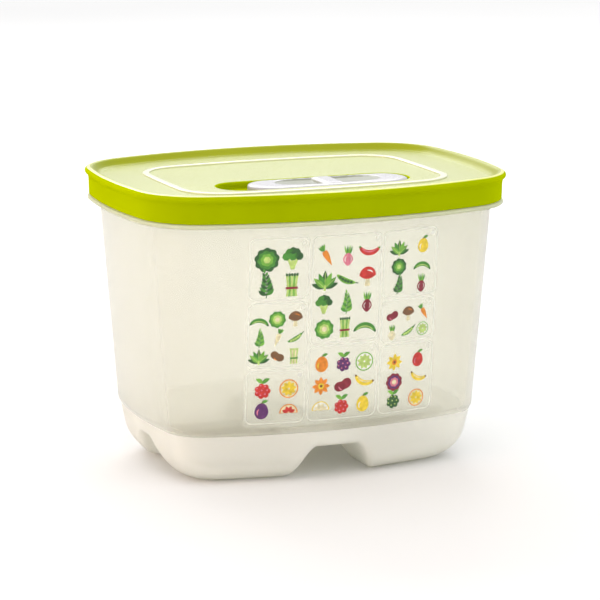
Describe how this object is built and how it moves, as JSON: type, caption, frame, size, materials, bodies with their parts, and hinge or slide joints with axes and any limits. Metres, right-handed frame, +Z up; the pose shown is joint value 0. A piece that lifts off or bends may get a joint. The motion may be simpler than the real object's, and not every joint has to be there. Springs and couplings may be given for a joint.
{
  "type": "ventilated food keeper",
  "caption": "Rectangular milky tub with bowed walls, moulded feet and a clear front film, closed by a lime press-on lid with a sliding vent.",
  "frame": {"origin": "centre of the footprint, on the plane of the four feet", "axes": "+Z up, the front wall with the print film faces -Y, +X to the right of a viewer at the front"},
  "size_m": [0.2, 0.1534, 0.1468],
  "materials": {
    "milky_plastic": "milky translucent, clear and glossy on the walls, satin and denser below the step",
    "lime_plastic": "soft satin plastic with a fine grain on the panel",
    "white_plastic": "smooth, slightly translucent white",
    "print_film": null
  },
  "bodies": {
    "tub": {"tub": "milky_plastic", "print_film": "print_film"},
    "lid": {"lid": "lime_plastic"},
    "shuttle": {"vent_slider": "white_plastic", "vent_gate": "white_plastic"}
  },
  "joints": [
    {"name": "lid_lift", "type": "slide", "parent": "tub", "child": "lid", "axis": [0, 0, 1], "range_m": [0, 0.1]},
    {"name": "vent_slide", "type": "slide", "parent": "lid", "child": "shuttle", "axis": [-1, 0, 0], "range_m": [0, 0.016]}
  ]
}
